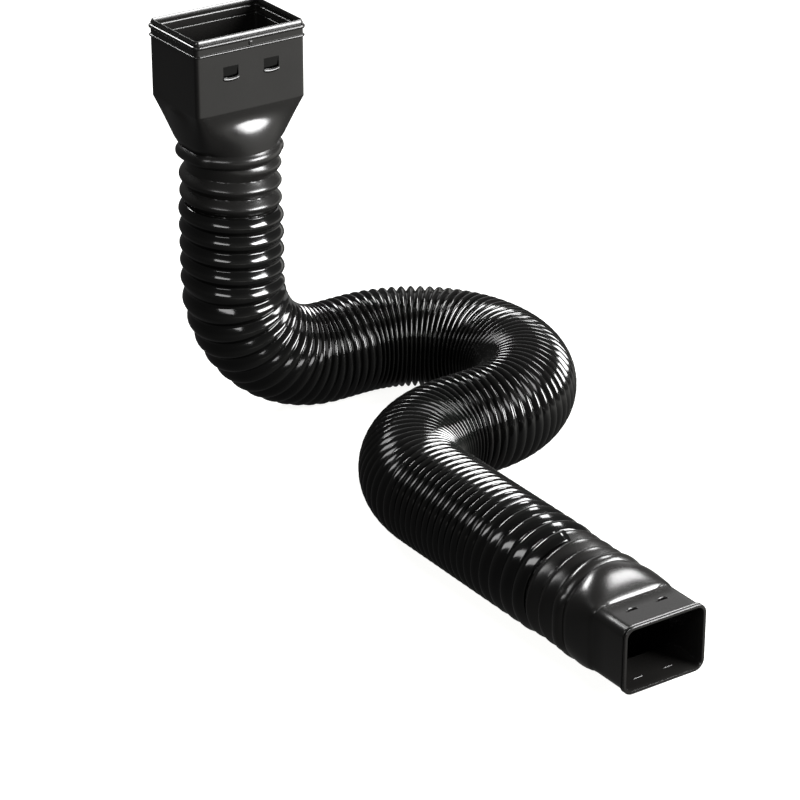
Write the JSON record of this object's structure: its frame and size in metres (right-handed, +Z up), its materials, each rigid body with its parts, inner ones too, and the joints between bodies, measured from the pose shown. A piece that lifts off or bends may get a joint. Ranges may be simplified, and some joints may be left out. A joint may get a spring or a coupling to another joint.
{
  "type": "flexible downspout extension",
  "caption": "Flexible ribbed drain hose curved in an S along the ground, with a screwed rectangular inlet box and a smaller rectangular outlet.",
  "frame": {"origin": "on the ground, under the middle of the part's footprint", "axes": "+Z up along the upright inlet leg, -Y towards the outlet mouth, +X towards the outside of the loop"},
  "size_m": [0.3833, 0.755, 0.447],
  "materials": {
    "hose_plastic": "satin",
    "adapter_plastic": "satin"
  },
  "bodies": {
    "root": {"hose": "hose_plastic", "inlet_adapter": "adapter_plastic", "outlet_adapter": "adapter_plastic"}
  },
  "joints": []
}
